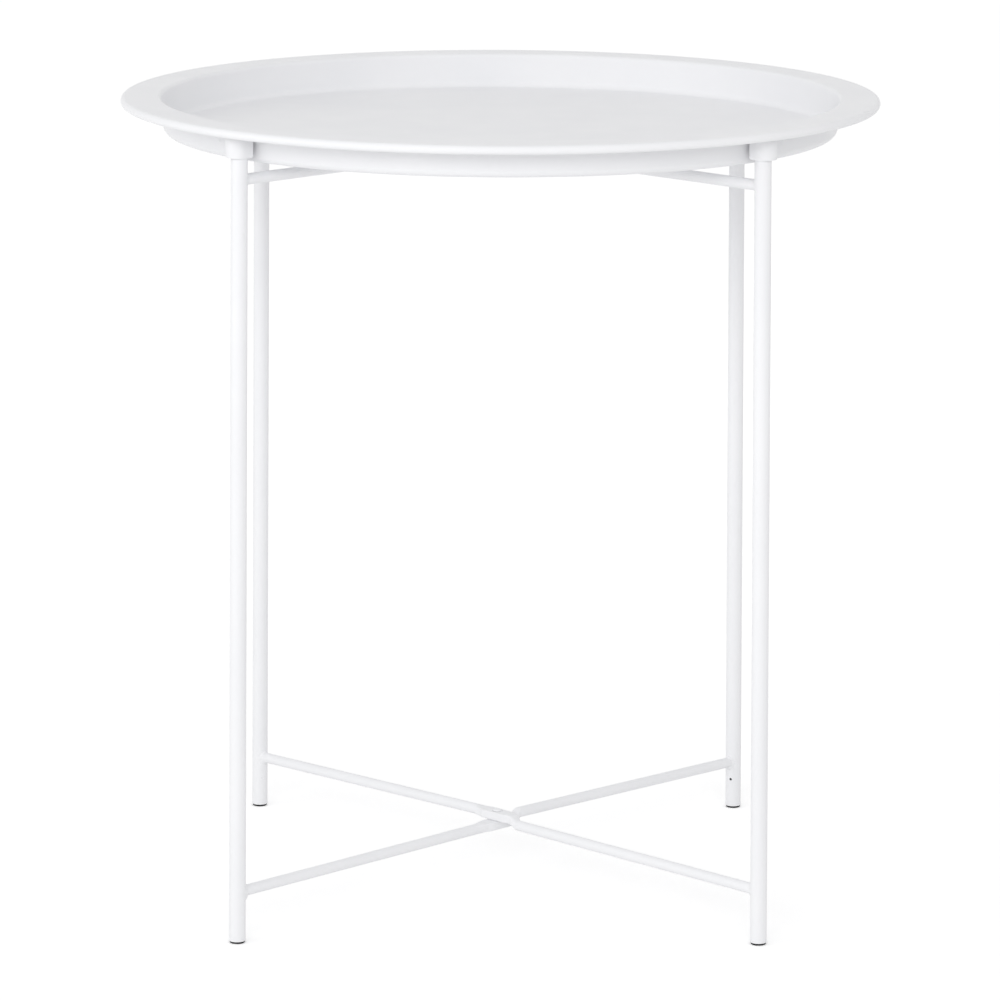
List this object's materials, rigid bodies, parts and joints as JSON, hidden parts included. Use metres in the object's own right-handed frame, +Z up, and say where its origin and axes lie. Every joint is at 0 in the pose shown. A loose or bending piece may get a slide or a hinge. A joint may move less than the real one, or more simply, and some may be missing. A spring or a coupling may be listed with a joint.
{
  "type": "folding tray table",
  "caption": "Round metal tray table: a tray with a rolled flat rim hangs by strap hooks on the tube legs of crossed frames that are riveted on one upright axis and fold.",
  "frame": {"origin": "on the floor under the middle of the tray", "axes": "+Z up, +X to the right and -Y to the front of the open table"},
  "size_m": [0.47, 0.47, 0.5],
  "materials": {
    "coated_steel": "satin white powder coat",
    "black_plastic": "moulded polyethylene, fine matt"
  },
  "bodies": {
    "frame_a": {"leg_back_left": "coated_steel", "leg_front_right": "coated_steel", "foot_plug_back_left": "black_plastic", "foot_plug_front_right": "black_plastic", "top_plug_back_left": "black_plastic", "top_plug_front_right": "black_plastic", "lower_bar_a": "coated_steel", "upper_bar_a": "coated_steel", "rivet_lower": "coated_steel", "rivet_upper": "coated_steel"},
    "frame_b": {"leg_front_left": "coated_steel", "leg_back_right": "coated_steel", "foot_plug_front_left": "black_plastic", "foot_plug_back_right": "black_plastic", "top_plug_front_left": "black_plastic", "top_plug_back_right": "black_plastic", "lower_bar_b": "coated_steel", "upper_bar_b": "coated_steel"},
    "tray": {"tray_pan": "coated_steel", "hook_front_left": "coated_steel", "hook_front_right": "coated_steel", "hook_back_left": "coated_steel", "hook_back_right": "coated_steel"}
  },
  "joints": [
    {"name": "frame_fold", "type": "hinge", "parent": "frame_a", "child": "frame_b", "pos_m": [0, 0, 0.0346], "axis": [0, 0, 1], "range_deg": [-58, 58]},
    {"name": "tray_lift", "type": "slide", "parent": "frame_a", "child": "tray", "axis": [0, 0, 1], "range_m": [0, 0.06]}
  ]
}
